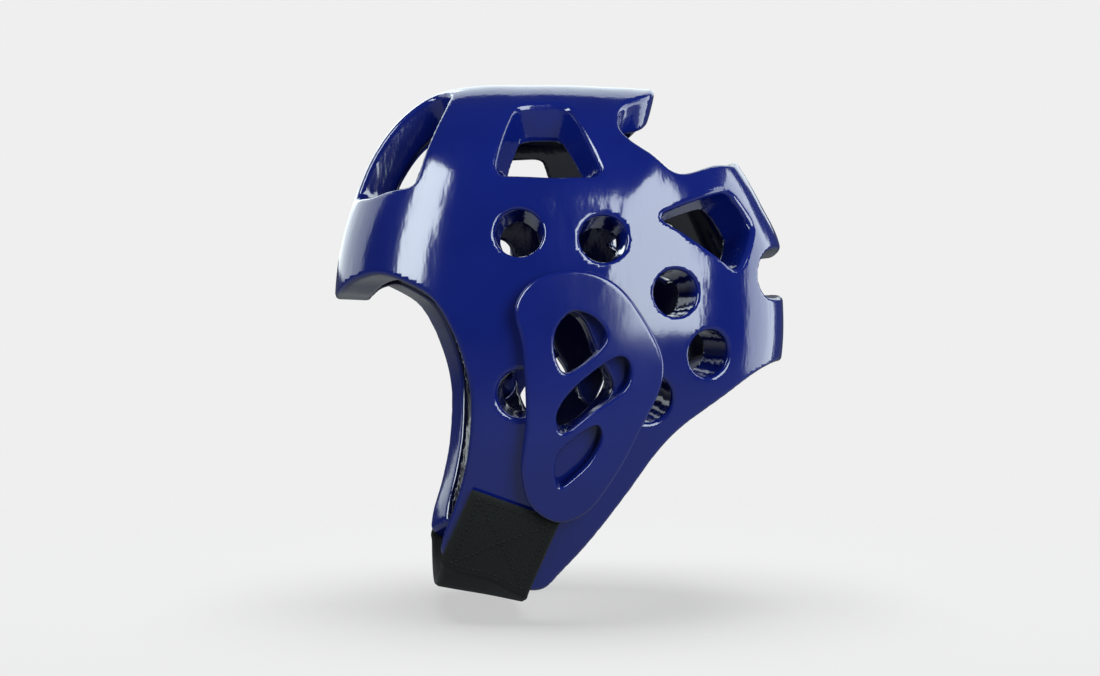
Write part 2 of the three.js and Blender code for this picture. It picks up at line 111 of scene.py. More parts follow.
# Outlines on the shell as turn from the face and rise, both in degrees from the head centre
LOWER_RIM = (
    (0, 6.9), (14.4, 7.9), (28.3, 10.3), (38.8, 11), (47.9, 9), (54.5, 6), (59.2, 0.2),
    (62.7, -8.6), (63.5, -16.1), (61.0, -27.5), (55.7, -36.8), (48.1, -44.7), (46.2, -47.6),
    (50, -50.2), (60.2, -53.2), (73, -58.4), (79.5, -58.4), (85.0, -55.9), (92.6, -51.1),
    (104.7, -38.1), (113.5, -25.8), (120.3, -20.0), (137.2, -10.6), (150, -7.8), (180, -7.5),
)
BROW_OPENING = (
    (11.8, 29.3), (27.2, 28.3), (45.9, 29.5), (44.7, 41.8), (42.5, 49), (34.3, 57.3),
    (18.0, 57.4), (13.0, 41.4),
)
CROWN_OPENING = (
    (67.3, 55.4), (88, 58.3), (94.8, 41.7), (97.4, 33.6), (84, 33.2), (67.6, 32.0),
)
TONGUE_OPENING = (
    (180, 66.5), (134.8, 61.0), (111.4, 55.4), (106.2, 46.9), (113.7, 37.4), (119.5, 34.2),
    (136.8, 37.2), (150, 38.6), (180, 41.6),
)
REAR_OPENING = ((109.3, 23.9), (136.2, 30.2), (142, 22.6), (130.5, 11.4))
NAPE_SLOT = ((180, 16.9), (143.0, 15.6), (139.2, 11.2), (143.0, 7.3), (180, 8.3))
ROUND_VENTS = (
    (75.1, 20.0), (95.5, 19.2), (112.8, 7.4), (122.0, -5.4), (75.7, -14.1), (107.1, -15.5),
)

# Outlines round the ear as back and up, shares of a half width and a half height
GUARD_OUTLINE = (
    (-0.34, 1.0), (0.05, 0.985), (0.4, 0.87), (0.8, 0.55), (0.98, 0.3), (0.96, 0.1),
    (0.72, -0.22), (0.3, -0.7), (0.0, -0.93), (-0.36, -1.0), (-0.72, -0.87), (-0.86, -0.6),
    (-0.82, -0.15), (-0.88, 0.4), (-0.97, 0.72), (-0.74, 0.92),
)
GUARD_SLOTS = (
    ((-0.22, 0.68), (0.1, 0.61), (0.22, 0.47), (-0.2, 0.22), (-0.34, 0.2), (-0.47, 0.38),
     (-0.42, 0.57)),
    ((0.4, 0.33), (0.52, 0.28), (0.5, 0.1), (0.06, -0.1), (-0.36, -0.27), (-0.43, -0.14),
     (-0.24, 0.06)),
    ((0.1, -0.21), (0.17, -0.28), (0.06, -0.47), (-0.16, -0.62), (-0.36, -0.7),
     (-0.43, -0.58), (-0.38, -0.42)),
)
EAR_OPENING = (
    (-0.42, 0.66), (-0.12, 0.64), (0.16, 0.3), (0.34, 0.08), (0.2, -0.08), (-0.3, -0.3),
    (-0.5, -0.1), (-0.54, 0.3),
)
GUARD_MIDDLE = (0.025, -0.255)
STRAP_TOP = (-0.25, -0.665)
STRAP_FOLD_BACK = -0.37


def millimetres(name, description, default):
    return FloatProperty(name=name, description=description, default=default, min=0.01)


def colour(name, description, default):
    return FloatVectorProperty(
        name=name, description=description, default=default, size=3, min=0, max=1, subtype="COLOR"
    )


class FoamSizes(bpy.types.PropertyGroup):
    """Sizes of the foam shell, in millimetres"""

    half_width: millimetres("Half width", "From the middle to the side of the shell", 92)
    half_depth: millimetres("Half depth", "From the middle to the brow", 125)
    crown_height: millimetres("Crown height", "From the head centre to the crown", 135.5)
    roundness: FloatProperty(
        name="Roundness", description="Exponent of the form, 2 is an ellipsoid", default=2.35,
        min=0.01,
    )
    foam: millimetres("Foam", "Thickness of the foam", 20)
    edge: millimetres("Edge", "Radius of the softened foam edges", 2.8)
    vent_edge: millimetres("Vent edge", "Radius of the vents' crisp edges", 2.0)
    vent_bore: millimetres("Vent bore", "Diameter of the round vents", 25)
    crown_draft: millimetres("Crown draft", "How far the crown openings' walls lean in", 7)
    rear_draft: millimetres("Rear draft", "How far the rear openings' walls lean in", 2)
    vent_draft: millimetres("Vent draft", "How far the round vents' walls lean in", 0.8)
    opening_corner: millimetres("Opening corner", "Rounding of the openings' corners", 7)
    voxel: millimetres("Mesh step", "Size of the shell's mesh faces", 1.8)


class GuardSizes(bpy.types.PropertyGroup):
    """Sizes of the ear guards, in millimetres"""

    height: millimetres("Height", "Height of a guard", 126)
    width: millimetres("Width", "Width of a guard from front to back", 76)
    thickness: millimetres("Thickness", "How far a guard stands out", 7.2)
    gap: millimetres("Seat gap", "Gap between a guard and the shell", 0.3)
    edge: millimetres("Edge", "Radius of a guard's outer edges", 2.6)
    slot_edge: millimetres("Slot edge", "Radius of the slots' crisp edges", 1.2)
    voxel: millimetres("Mesh step", "Size of a guard's mesh faces", 1.0)


class StrapSizes(bpy.types.PropertyGroup):
    """Sizes of the chin strap, in millimetres"""

    width: millimetres("Width", "Width of the webbing", 48)
    thickness: millimetres("Thickness", "Thickness of the webbing", 2.4)
    gap: millimetres("Gap", "Gap between the webbing and the foam", 0.7)
    drop: millimetres("Drop", "From the head centre down to the strap under the chin", 143)
    slant: FloatProperty(
        name="Slant", description="Slant of the strap's end", default=math.radians(20),
        unit="ROTATION",
    )
    tilt: FloatProperty(
        name="Tilt", description="Tilt of the strap under the chin", default=math.radians(10),
        unit="ROTATION",
    )
    stitch: millimetres("Stitch", "Length of one stitch", 3.0)
    seam: millimetres("Seam", "From the webbing's edge to the sewn box", 5.0)


class Finishes(bpy.types.PropertyGroup):
    """Colours of the finishes, and of the painted shade on the shell's inside"""

    foam: colour("Foam", "Blue of the dipped foam", (0.0023, 0.0069, 0.090))
    foam_deep: colour("Deep foam", "Blue where the dip is thicker", (0.0018, 0.0056, 0.076))
    # Painted shade: the near black blue laid on the shell's inside face stands in for the shade
    # inside the shell
    inside: colour("Inside", "Near black blue of the shell's inside", (0.0006, 0.0010, 0.010))
    webbing: colour("Webbing", "Black of the strap", (0.0055, 0.0062, 0.0056))
    thread: colour("Thread", "Black of the stitching", (0.0075, 0.0082, 0.0075))
    floor: colour("Floor", "Pale grey of the floor", (0.38, 0.38, 0.38))


class StageSizes(bpy.types.PropertyGroup):
    """Where the camera stands and points, in millimetres from the head centre"""

    azimuth: FloatProperty(
        name="Azimuth", description="Camera direction from the face towards the left ear",
        default=math.radians(83), unit="ROTATION",
    )
    distance: millimetres("Distance", "From the camera to the middle of the picture", 880)
    focal: FloatProperty(
        name="Focal", description="Focal length in picture widths",
        default=FOCAL_PIXELS / PICTURE_PIXELS, min=0.01,
    )
    target_back: FloatProperty(
        name="Target back", description="Picture's middle, from the head centre", default=-5.0
    )
    target_up: FloatProperty(
        name="Target up", description="Picture's middle, from the head centre", default=-5.0
    )


def smooth_value(rows, at):
    """Smooth values between the rows of a table."""
    keys = np.array([row[0] for row in rows], float)
    values = np.array([row[1] for row in rows], float)
    slopes = np.empty_like(values)
    slopes[1:-1] = (values[2:] - values[:-2]) / (keys[2:] - keys[:-2])
    slopes[0] = (values[1] - values[0]) / (keys[1] - keys[0])
    slopes[-1] = (values[-1] - values[-2]) / (keys[-1] - keys[-2])
    at = np.clip(at, keys[0], keys[-1])
    i = np.clip(np.searchsorted(keys, at, side="right") - 1, 0, len(keys) - 2)
    span = keys[i + 1] - keys[i]
    t = (at - keys[i]) / span
    return (
        ((2 * t - 3) * t * t + 1) * values[i] + ((t - 2) * t + 1) * t * span * slopes[i]
        + (3 - 2 * t) * t * t * values[i + 1] + (t - 1) * t * t * span * slopes[i + 1]
    )


REACH_ROUND = tuple(
    (degrees + turn, reach) for turn in (-360, 0, 360) for degrees, reach in SIDE_REACH
)


class HeadForm:
    """The closed form that the shell is cut from, in millimetres from the head centre."""

    def __init__(self, sizes):
        self.half = np.array([sizes.half_width, sizes.half_depth, sizes.crown_height])
        self.k = sizes.roundness
        self.seat_height = sizes.crown_height - sizes.foam

    def gauge(self, p):
        x, y, z = (p / self.half).T
        x = x / smooth_value(FRONT_WIDTH, z)
        side = np.hypot(y, z) / smooth_value(REACH_ROUND, np.degrees(np.arctan2(z, -y)))
        return (np.abs(x) ** self.k + side ** self.k) ** (1 / self.k)

    def slope(self, p):
        h = 0.05
        steps = []
        for axis in range(3):
            step = np.zeros(3)
            step[axis] = h
            steps.append((self.gauge(p + step) - self.gauge(p - step)) / (2 * h))
        return np.stack(steps, axis=1)

    def normal(self, p):
        slope = self.slope(p)
        return slope / np.linalg.norm(slope, axis=1, keepdims=True)

    def foot(self, p):
        """Nearest place on the outer surface, its normal, and how far outside it each point is."""
        q = p
        for _ in range(2):
            slope = self.slope(q)
            size = np.linalg.norm(slope, axis=1, keepdims=True)
            q = q - (self.gauge(q)[:, None] - 1) / size * slope / size
        normal = slope / size
        return q, normal, np.einsum("ij,ij->i", p - q, normal)

    def seat(self, p, times=8):
        p = np.array(p, float)
        for _ in range(times):
            p = p / self.gauge(p)[:, None]
        return p

    def from_directions(self, rows):
        turn, rise = np.radians(np.array(rows, float)).T
        flat = np.cos(rise)
        p = np.stack([np.sin(turn) * flat, -np.cos(turn) * flat, np.sin(rise)], axis=1)
        return self.seat(p * self.half)

    def from_side(self, y, z):
        y, z = np.broadcast_arrays(np.asarray(y, float), np.asarray(z, float))
        low, high = np.zeros(y.size), np.full(y.size, 2 * self.half[0])
        for _ in range(40):
            middle = (low + high) / 2
            under = self.gauge(np.stack([middle, y.ravel(), z.ravel()], axis=1)) < 1
            low, high = np.where(under, middle, low), np.where(under, high, middle)
        return np.stack([low, y.ravel(), z.ravel()], axis=1)

    def round_the_ear(self, rows, width, height):
        back, up = np.array(rows, float).T
        y = GUARD_MIDDLE[0] * self.half[1] + back * width / 2
        z = GUARD_MIDDLE[1] * self.half[2] + up * height / 2
        return self.from_side(y, z)

    def smooth_line(self, points, closed, step):
        """A smooth line through points, evenly stepped along the surface."""
        count = len(points)
        dense = []
        for i in range(count if closed else count - 1):
            if closed:
                a, b, c, d = (points[(i + k) % count] for k in (-1, 0, 1, 2))
            else:
                b, c = points[i], points[i + 1]
                a = points[i - 1] if i else 2 * b - c
                d = points[i + 2] if i + 2 < count else 2 * c - b
            dense.append(centripetal(a, b, c, d, 12))
        dense = np.concatenate(dense + ([] if closed else [points[-1:]]))
        return self.seat(even_steps(dense, closed, step))

    def cornered(self, points, radius, step):
        """Straight sides with rounded corners, evenly stepped along the surface."""
        line = []
        for i, corner in enumerate(points):
            before, after = points[i - 1], points[(i + 1) % len(points)]
            back, ahead = np.linalg.norm(before - corner), np.linalg.norm(after - corner)
            start = corner + (before - corner) / back * min(radius, 0.45 * back)
            end = corner + (after - corner) / ahead * min(radius, 0.45 * ahead)
            for t in np.linspace(0, 1, 9):
                line.append((1 - t) ** 2 * start + 2 * t * (1 - t) * corner + t * t * end)
        return self.seat(even_steps(np.array(line), True, step))

    def both_sides(self, rows, step):
        half = self.smooth_line(self.from_directions(rows), False, step)
        other = half[1:-1][::-1] * (-1, 1, 1)
        return np.concatenate([half, other])

    def circle(self, direction, diameter):
        centre = self.from_directions([direction])
        normal = self.normal(centre)[0]
        along = np.cross((0, 0, 1), normal)
        along /= np.linalg.norm(along)
        up = np.cross(normal, along)
        angle = np.linspace(0, 2 * math.pi, 40, endpoint=False)[:, None]
        ring = centre + diameter / 2 * (np.cos(angle) * along + np.sin(angle) * up)
        return self.seat(ring)


def centripetal(a, b, c, d, steps):
    """Centripetal Catmull-Rom stretch from b to c, without its last point."""
    gap = [max(math.sqrt(np.linalg.norm(q - p)), 1e-6) for p, q in ((a, b), (b, c), (c, d))]
    start = ((b - a) / gap[0] - (c - a) / (gap[0] + gap[1]) + (c - b) / gap[1]) * gap[1]
    end = ((c - b) / gap[1] - (d - b) / (gap[1] + gap[2]) + (d - c) / gap[2]) * gap[1]
    t = np.linspace(0, 1, steps, endpoint=False)[:, None]
    return (
        b + start * t + (3 * (c - b) - 2 * start - end) * t ** 2
        + (2 * (b - c) + start + end) * t ** 3
    )


def even_steps(points, closed, step):
    if closed:
        points = np.concatenate([points, points[:1]])
    length = np.concatenate([[0], np.cumsum(np.linalg.norm(np.diff(points, axis=0), axis=1))])
    count = max(3, round(length[-1] / step))
    at = np.linspace(0, length[-1], count + 1)
    even = np.stack([np.interp(at, length, points[:, k]) for k in range(3)], axis=1)
    return even[:-1] if closed else even


# Field values well off the foam and well outside an opening, and how far round an opening its
# line is measured, all in millimetres
FAR_OFF = 9.0
NOT_OPEN = -1e3
OPENING_REACH = 6.0


class Outline:
    """A closed line on the form's surface that knows which side of it a place lies on."""

    def __init__(self, form, line, inside=None, draft=0.0):
        self.form = form
        self.line = line
        self.ahead = np.roll(line, -1, axis=0) - line
        self.length2 = np.sum(self.ahead ** 2, axis=1)
        unit = self.ahead / np.sqrt(self.length2)[:, None]
        self.tangent = unit + np.roll(unit, 1, axis=0)
        self.middle = line.mean(axis=0)
        self.radius = np.linalg.norm(line - self.middle, axis=1).max()
        self.lean = draft / np.linalg.norm(line - self.middle, axis=1).mean()
        self.turn = 1.0
        inside = form.seat(self.middle[None] if inside is None else form.from_directions([inside]))
        self.turn = math.copysign(1.0, self.depth(inside, form.normal(inside))[0])

    def depth(self, q, normal, reach=None, inward=None):
        """Distance from the line, more than 0 inside it. inward is the depth as a foam share."""
        depth = np.full(len(q), NOT_OPEN)
        near = np.arange(len(q))
        if reach is not None:
            near = near[np.linalg.norm(q - self.middle, axis=1) < self.radius + reach]
        for part in np.array_split(near, len(near) // 15000 + 1):
            if len(part) == 0:
                continue
            p = q[part]
            size = np.ones(len(part))
            if inward is not None and self.lean:
                size = 1 - self.lean * np.clip(inward[part], 0, 1.2)
                p = self.form.seat(self.middle + (p - self.middle) / size[:, None], 3)
            along = p @ self.ahead.T - np.sum(self.line * self.ahead, axis=1)
            t = np.clip(along / self.length2, 0, 1)
            far = np.sum(p ** 2, axis=1)[:, None] + np.sum(self.line ** 2, axis=1)
            far = far - 2 * p @ self.line.T - 2 * t * along + t * t * self.length2
            best = np.argmin(far, axis=1)
            t = t[np.arange(len(part)), best][:, None]
            away = p - self.line[best] - t * self.ahead[best]
            after = (best + 1) % len(self.line)
            tangent = self.tangent[best] * (1 - t) + self.tangent[after] * t
            side = np.einsum("ij,ij->i", np.cross(tangent, normal[part]), away)
            depth[part] = np.copysign(size * np.linalg.norm(away, axis=1), side * self.turn)
        return depth


def round_join(a, b, radius):
    """What lies inside both, its edge rounded."""
    return np.minimum(-radius, np.maximum(a, b)) + np.hypot(
        np.maximum(radius + a, 0), np.maximum(radius + b, 0)
    )


def surface_of(field, low, high, step, mirrored):
    """A closed quad mesh where the field is 0. A mirrored field is worked out on one side."""
    low, high = np.array(low, float) - 2 * step, np.array(high, float) + 2 * step
    if mirrored:
        low[0], high[0] = 0.0, max(-low[0], high[0])
    counts = np.ceil((high - low) / step).astype(int) + 1
    axes = [low[k] + step * np.arange(counts[k]) for k in range(3)]
    grid = np.stack(np.meshgrid(*axes, indexing="ij"), axis=-1).reshape(-1, 3)
    values = field(grid).reshape(counts)
    if mirrored:
        values = np.concatenate([values[:0:-1], values])
        low[0] -= step * (counts[0] - 1)
    inside = values < 0
    n = np.array(values.shape)
    corners = [(i, j, k) for i in (0, 1) for j in (0, 1) for k in (0, 1)]

    def shifted(array, c):
        return array[c[0]:n[0] - 1 + c[0], c[1]:n[1] - 1 + c[1], c[2]:n[2] - 1 + c[2]]

    held = sum(shifted(inside, c).astype(np.int8) for c in corners)
    mixed = (held > 0) & (held < 8)
    index = np.full(mixed.shape, -1)
    index[mixed] = np.arange(mixed.sum())
    cells = np.argwhere(mixed)
    at = {c: shifted(values, c)[mixed] for c in corners}
    total, crossings = np.zeros((len(cells), 3)), np.zeros(len(cells))
    for a in corners:
        for axis in range(3):
            if a[axis]:
                continue
            b = tuple(1 if k == axis else a[k] for k in range(3))
            cross = (at[a] < 0) != (at[b] < 0)
            t = np.where(cross, at[a] / np.where(cross, at[a] - at[b], 1), 0)
            place = np.array(a, float) + t[:, None] * np.eye(3)[axis]
            total += place * cross[:, None]
            crossings += cross
    points = low + step * (cells + total / crossings[:, None])
    quads = []
    for axis in range(3):
        u, v = (axis + 1) % 3, (axis + 2) % 3
        one = [slice(1, -1)] * 3
        two = [slice(1, -1)] * 3
        one[axis], two[axis] = slice(0, -1), slice(1, None)
        a, b = inside[tuple(one)], inside[tuple(two)]
        start = np.argwhere(a != b) + 1
        start[:, axis] -= 1
        out = a[a != b]

        def cell(du, dv):
            c = start.copy()
            c[:, u] += du
            c[:, v] += dv
            return index[tuple(c.T)]

        ring = np.stack([cell(-1, -1), cell(0, -1), cell(0, 0), cell(-1, 0)], axis=1)
        quads.append(np.where(out[:, None], ring, ring[:, ::-1]))
    points, normals = settle(field, points, step)
    return points, np.concatenate(quads), normals


def settle(field, points, step):
    """Moves points onto the field's 0, and gives its normals there."""
    h = 0.02
    for _ in range(2):
        value = field(points)
        slope = np.stack([(field(points + h * e) - value) / h for e in np.eye(3)], axis=1)
        size2 = np.maximum(np.sum(slope ** 2, axis=1), 0.2)
        move = np.clip(value / size2, -0.6 * step, 0.6 * step)
        points = points - move[:, None] * slope
    h = 0.25
    slope = np.stack([field(points + h * e) - field(points - h * e) for e in np.eye(3)], axis=1)
    return points, slope / np.maximum(np.linalg.norm(slope, axis=1, keepdims=True), 1e-9)


def shell_outlines(form, sizes, guards):
    crisp = [
        Outline(form, form.circle(vent, sizes.vent_bore), draft=sizes.vent_draft)
        for vent in ROUND_VENTS
    ]
    ear = form.round_the_ear(EAR_OPENING, guards.width, guards.height)
    crisp.append(Outline(form, form.smooth_line(ear, True, 2.5)))
    soft = [
        Outline(form, form.both_sides(TONGUE_OPENING, 2.5), (180, 55)),
        Outline(form, form.both_sides(NAPE_SLOT, 2.0), (180, 12)),
    ]
    for rows, draft in (
        (BROW_OPENING, 0.0), (CROWN_OPENING, sizes.crown_draft), (REAR_OPENING, sizes.rear_draft),
    ):
        line = form.cornered(form.from_directions(rows), sizes.opening_corner, 2.0)
        soft.append(Outline(form, line, draft=draft))
    return crisp, soft


def shell_field(form, sizes, guards):
    """Less than 0 in the foam, and a distance near its surface."""
    crisp, soft = shell_outlines(form, sizes, guards)
    rim = Outline(form, form.both_sides(LOWER_RIM, 2.5), (0, -60))
    thickness = sizes.foam

    def field(p):
        p = np.abs(p * (1, 0, 0)) + p * (0, 1, 1)
        value = np.full(len(p), FAR_OFF)
        gauge = form.gauge(p)
        away = np.linalg.norm(p, axis=1) * (1 - 1 / np.maximum(gauge, 1e-6))
        near = np.flatnonzero((away > -2.9 * thickness) & (away < 12))
        q, normal, out = form.foot(p[near])
        slab = np.abs(out + thickness / 2) - thickness / 2
        wall = slab < 4
        near, q, normal, slab = near[wall], q[wall], normal[wall], slab[wall]
        inward = -out[wall] / thickness
        open_at = rim.depth(q, normal)
        for line in soft:
            open_at = np.maximum(open_at, line.depth(q, normal, OPENING_REACH, inward))
        body = round_join(slab, open_at, sizes.edge)
        open_at = np.full(len(near), NOT_OPEN)
        for line in crisp:
            open_at = np.maximum(open_at, line.depth(q, normal, OPENING_REACH, inward))
        value[near] = np.maximum(body, round_join(slab, open_at, sizes.vent_edge))
        return value

    return field


def guard_field(form, guards):
    outline = form.smooth_line(
        form.round_the_ear(GUARD_OUTLINE, guards.width, guards.height), True, 2.0
    )
    outline = Outline(form, outline)
    slots = [
        Outline(form, form.smooth_line(
            form.round_the_ear(rows, guards.width, guards.height), True, 1.6
        ))
        for rows in GUARD_SLOTS
    ]

    def field(p):
        value = np.full(len(p), FAR_OFF)
        gauge = form.gauge(p)
        away = np.linalg.norm(p, axis=1) * (1 - 1 / gauge)
        near = np.flatnonzero((away > -4) & (away < guards.thickness + 6))
        q, normal, out = form.foot(p[near])
        above = out - guards.gap - guards.thickness
        plate = round_join(above, -outline.depth(q, normal), guards.edge)
        open_at = np.full(len(near), NOT_OPEN)
        for slot in slots:
            open_at = np.maximum(open_at, slot.depth(q, normal, OPENING_REACH))
        slotted = round_join(above, open_at, guards.slot_edge)
        value[near] = np.maximum(np.maximum(plate, slotted), guards.gap - out)
        return value

    return field


def placed(name, data):
    """An object of the data, linked into the scene."""
    piece = bpy.data.objects.new(name, data)
    bpy.context.scene.collection.objects.link(piece)
    return piece


def mesh_piece(name, points, faces, normals=None):
    """An object with its place in its mesh, from millimetres round the head centre."""
    seat_height = HeadForm(bpy.context.scene.headgear_foam).seat_height
    mesh = bpy.data.meshes.new(name)
    mesh.from_pydata(((points - (0, 0, seat_height)) * MM).tolist(), [], faces.tolist())
    mesh.validate()
    mesh.polygons.foreach_set("use_smooth", [True] * len(mesh.polygons))
    if normals is not None:
        mesh.normals_split_custom_set_from_vertices(normals.tolist())
    mesh.update()
    return placed(name, mesh)


class Nodes:
    """Adds and links nodes of one tree."""

    def __init__(self, tree):
        self.tree = tree
        tree.nodes.clear()

    def add(self, kind, inputs=None, **settings):
        node = self.tree.nodes.new(kind)
        for key, value in settings.items():
            setattr(node, key, value)
        for key, value in (inputs or {}).items():
            if isinstance(value, bpy.types.NodeSocket):
                self.tree.links.new(value, node.inputs[key])
            else:
                node.inputs[key].default_value = value
        return node


def new_material(name):
    material = bpy.data.materials.new(name)
    material.use_nodes = True
    return material, Nodes(material.node_tree)


def ramp(nodes, value, low, high, span):
    """The colour from low to high over a span of a value."""
    node = nodes.add("ShaderNodeValToRGB", {"Fac": value})
    for element, position, shade in zip(node.color_ramp.elements, span, (low, high)):
        element.position = position
        element.color = (*shade, 1)
    return node.outputs["Color"]


# Bumps of the dip: upward stretch, scale, detail, roughness, and height in metres
DIP_BUMPS = (
    (0.45, 38.0, 1.5, 0.45, 0.00062), (0.3, 165.0, 2.0, 0.55, 0.00014),
    (1.0, 620.0, 1.0, 0.5, 0.000010),
)


def rippled(nodes, place, ripple):
    """The normal of the dip's bumps laid over each other, with ripple times their height."""
    normal = None
    for stretch, scale, detail, roughness, height in DIP_BUMPS:
        drawn = nodes.add("ShaderNodeMapping", {"Vector": place, "Scale": (1.0, 1.0, stretch)})
        noise = nodes.add("ShaderNodeTexNoise", {
            "Vector": drawn.outputs["Vector"], "Scale": scale, "Detail": detail,
            "Roughness": roughness,
        })
        inputs = {"Height": noise.outputs["Fac"], "Strength": 1.0, "Distance": height * ripple}
        if normal is not None:
            inputs["Normal"] = normal
        normal = nodes.add("ShaderNodeBump", inputs).outputs["Normal"]
    return normal


def dipped_foam(name, ripple, gloss_range, with_inside_shade=False):
    """Glossy blue dip over foam, with faint ripples and orange peel, and painted shade that turns
    the shell's inside face near black.
    """
    finish = bpy.context.scene.headgear_finishes
    material, nodes = new_material(name)
    place = nodes.add("ShaderNodeTexCoord").outputs["Object"]
    normal = rippled(nodes, place, ripple)
    blotches = nodes.add("ShaderNodeTexNoise", {
        "Vector": place, "Scale": 22.0, "Detail": 3.0, "Roughness": 0.6,
    })
    blotch = blotches.outputs["Fac"]
    gloss = nodes.add("ShaderNodeMapRange", {
        "Value": blotch, "From Min": 0.3, "From Max": 0.7,
        "To Min": gloss_range[0], "To Max": gloss_range[1],
    })
    colour_out = ramp(nodes, blotch, finish.foam_deep, finish.foam, (0.3, 0.7))
    # Painted shade: where a point lies a full foam deep, on the inner face, the blue turns near
    # black
    if with_inside_shade:
        inward = nodes.add("ShaderNodeAttribute", attribute_name="inward")
        deep = nodes.add("ShaderNodeMapRange", {
            "Value": inward.outputs["Fac"], "From Min": 0.93, "From Max": 1.0,
        }, interpolation_type="SMOOTHSTEP")
        darkened = nodes.add("ShaderNodeMixRGB", {
            "Fac": deep.outputs["Result"], "Color1": colour_out, "Color2": (*finish.inside, 1),
        })
        colour_out = darkened.outputs["Color"]
    skin = nodes.add("ShaderNodeBsdfPrincipled", {
        "Base Color": colour_out, "Roughness": gloss.outputs["Result"], "IOR": 1.52,
        "Normal": normal, "Metallic": 0.0,
    })
    nodes.add("ShaderNodeOutputMaterial", {"Surface": skin.outputs["BSDF"]})
    return material


def woven(name):
    """Matt black webbing: ribs along the strap crossed by picks, in millimetres of its UV map."""
    finish = bpy.context.scene.headgear_finishes
    material, nodes = new_material(name)
    flat = nodes.add("ShaderNodeUVMap", uv_map="webbing").outputs["UV"]
    slanted = nodes.add("ShaderNodeMapping", {
        "Vector": flat, "Rotation": (0, 0, math.radians(38)), "Scale": (1.0, 1.0, 1.0),
    })
    ribs = nodes.add("ShaderNodeTexWave", {
        "Vector": slanted.outputs["Vector"], "Scale": 0.28, "Distortion": 0.6, "Detail": 1.0,
        "Detail Scale": 2.0,
    }, wave_type="BANDS", bands_direction="X")
    picks = nodes.add("ShaderNodeTexWave", {
        "Vector": flat, "Scale": 0.34, "Distortion": 0.4, "Detail": 1.0, "Detail Scale": 2.0,
    }, wave_type="BANDS", bands_direction="Y")
    fuzz = nodes.add("ShaderNodeTexNoise", {
        "Vector": flat, "Scale": 2.2, "Detail": 3.0, "Roughness": 0.7,
    })
    weave = nodes.add("ShaderNodeMath", {
        0: ribs.outputs["Fac"], 1: picks.outputs["Fac"],
    }, operation="MULTIPLY")
    height = nodes.add("ShaderNodeMath", {
        0: fuzz.outputs["Fac"], 1: 0.5, 2: weave.outputs["Value"],
    }, operation="MULTIPLY_ADD")
    bump = nodes.add("ShaderNodeBump", {
        "Height": height.outputs["Value"], "Strength": 0.9, "Distance": 0.00022,
    })
    # The colour follows the weave's height: painted shade darkens its low places and its raised
    # ribs are lighter, with random tone from the fuzz
    webbing = Vector(finish.webbing)
    shade = ramp(nodes, height.outputs["Value"], 0.55 * webbing, 1.35 * webbing, (0.2, 1.0))
    cloth = nodes.add("ShaderNodeBsdfPrincipled", {
        "Base Color": shade, "Roughness": 0.82, "Normal": bump.outputs["Normal"],
        "Specular IOR Level": 0.16, "Sheen Weight": 0.02, "Sheen Roughness": 0.5,
    })
    nodes.add("ShaderNodeOutputMaterial", {"Surface": cloth.outputs["BSDF"]})
    return material


def thread_finish(name):
    """Matt black twisted thread."""
    finish = bpy.context.scene.headgear_finishes
    material, nodes = new_material(name)
    place = nodes.add("ShaderNodeTexCoord").outputs["Object"]
    twist = nodes.add("ShaderNodeTexNoise", {"Vector": place, "Scale": 2600.0, "Detail": 2.0})
    thread = Vector(finish.thread)
    shade = ramp(nodes, twist.outputs["Fac"], 0.6 * thread, 1.4 * thread, (0.0, 1.0))
    bump = nodes.add("ShaderNodeBump", {
        "Height": twist.outputs["Fac"], "Strength": 0.5, "Distance": 0.0001,
    })
    yarn = nodes.add("ShaderNodeBsdfPrincipled", {
        "Base Color": shade, "Roughness": 0.8, "Normal": bump.outputs["Normal"],
        "Specular IOR Level": 0.16,
    })
    nodes.add("ShaderNodeOutputMaterial", {"Surface": yarn.outputs["BSDF"]})
    return material


def box_of(node, form):
    """Corners of a node's box, in millimetres round the head centre."""
    return [np.array(corner) / MM + (0, 0, form.seat_height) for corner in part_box(node)]


class HEADGEAR_OT_shell(bpy.types.Operator):
    """Make the moulded foam shell with its openings and vents"""

    bl_idname = "headgear.shell"
    bl_label = "Foam Shell"

    def execute(self, context):
        sizes, guards = context.scene.headgear_foam, context.scene.headgear_guards
        form = HeadForm(sizes)
        low, high = box_of("shell", form)
        field = shell_field(form, sizes, guards)
        points, faces, normals = surface_of(field, low, high, sizes.voxel, True)
        piece = mesh_piece("foam_shell", points, faces, normals)
        # How far into the foam each point lies, which masks the painted shade on the inside
        inward = np.clip(-form.foot(points)[2] / sizes.foam, 0, 1)
        layer = piece.data.attributes.new("inward", "FLOAT", "POINT")
        layer.data.foreach_set("value", inward)
        piece.data.materials.append(dipped_foam("dipped foam", 1.0, (0.09, 0.14), with_inside_shade=True))
        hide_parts("shell")
        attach(piece, ROOT)
        return {"FINISHED"}


class HEADGEAR_OT_ear_guards(bpy.types.Operator):
    """Make the raised ear guards with their slots"""

    bl_idname = "headgear.ear_guards"
    bl_label = "Ear Guards"

    def execute(self, context):
        sizes, guards = context.scene.headgear_foam, context.scene.headgear_guards
        form = HeadForm(sizes)
        low, high = box_of("ear_guard_left", form)
        field = guard_field(form, guards)
        points, faces, normals = surface_of(field, low, high, guards.voxel, False)
        finish = dipped_foam("dipped guard foam", 0.55, (0.15, 0.2))
        for side, name in ((1, "left"), (-1, "right")):
            turned = faces if side > 0 else faces[:, ::-1]
            flip = (side, 1, 1)
            piece = mesh_piece(f"foam_guard_{name}", points * flip, turned, normals * flip)
            piece.data.materials.append(finish)
            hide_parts(f"ear_guard_{name}")
            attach(piece, ROOT)
        return {"FINISHED"}


# The strap's mesh: places across it, and rows on a jaw and from there to the middle of the chin
STRAP_COLUMNS = 33
JAW_ROWS = 41
CHIN_ROWS = 45


